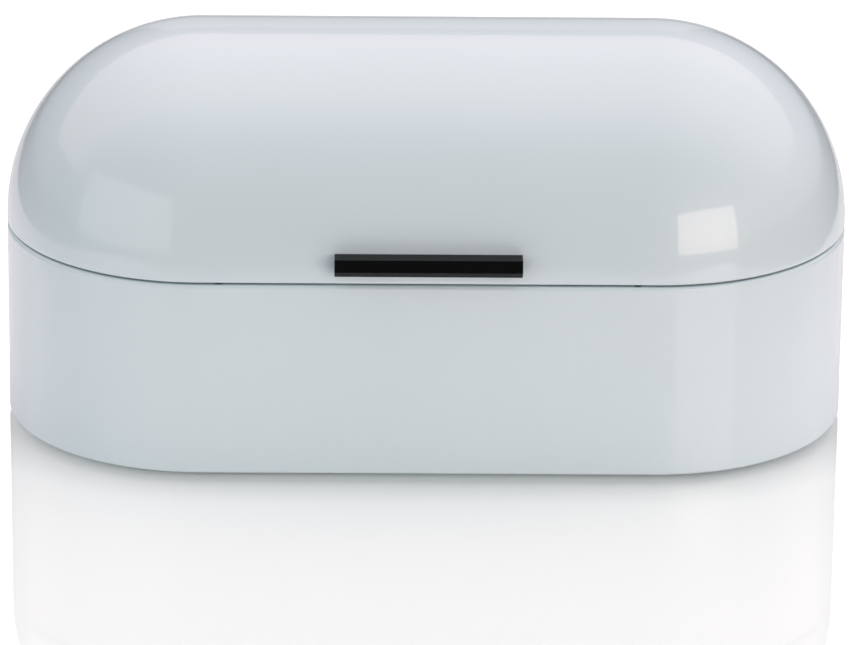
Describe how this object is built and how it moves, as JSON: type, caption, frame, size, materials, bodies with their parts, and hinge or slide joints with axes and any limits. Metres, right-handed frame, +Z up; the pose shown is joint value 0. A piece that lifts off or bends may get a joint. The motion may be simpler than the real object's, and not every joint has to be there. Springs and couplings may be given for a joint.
{
  "type": "bread box",
  "caption": "Long bread box of glossy painted sheet steel with rounded ends and a domed lid that swings up on two rear hinges, lifted by a black pull bar.",
  "frame": {"origin": "middle of the footprint, on the table top", "axes": "+X along the box to the right seen from the front, +Y to the back, +Z up"},
  "size_m": [0.44, 0.2195, 0.213],
  "materials": {
    "body_paint": "glossy powder coat",
    "bar_black": "satin moulded",
    "foot_rubber": "matt moulded",
    "bumper_silicone": "soft moulded",
    "hinge_nickel": "nickel plated",
    "zinc_steel": "zinc plated",
    "rivet_aluminium": "plain"
  },
  "bodies": {
    "body": {"body_wall": "body_paint", "floor_pan": "body_paint", "foot_front_left": "foot_rubber", "foot_front_right": "foot_rubber", "foot_rear_left": "foot_rubber", "foot_rear_right": "foot_rubber", "front_bumpers": "bumper_silicone", "hinge_left_body_leaf": "hinge_nickel", "hinge_left_pin": "hinge_nickel", "hinge_left_body_rivets": "rivet_aluminium", "hinge_right_body_leaf": "hinge_nickel", "hinge_right_pin": "hinge_nickel", "hinge_right_body_rivets": "rivet_aluminium"},
    "lid": {"lid_shell": "body_paint", "handle_bar": "bar_black", "handle_washers": "zinc_steel", "handle_screws": "zinc_steel", "hinge_left_lid_leaf": "hinge_nickel", "hinge_left_lid_rivets": "rivet_aluminium", "hinge_right_lid_leaf": "hinge_nickel", "hinge_right_lid_rivets": "rivet_aluminium"}
  },
  "joints": [
    {"name": "lid_hinge", "type": "hinge", "parent": "body", "child": "lid", "pos_m": [0, 0.10535, 0.107], "axis": [-1, 0, 0], "range_deg": [0, 95]}
  ]
}
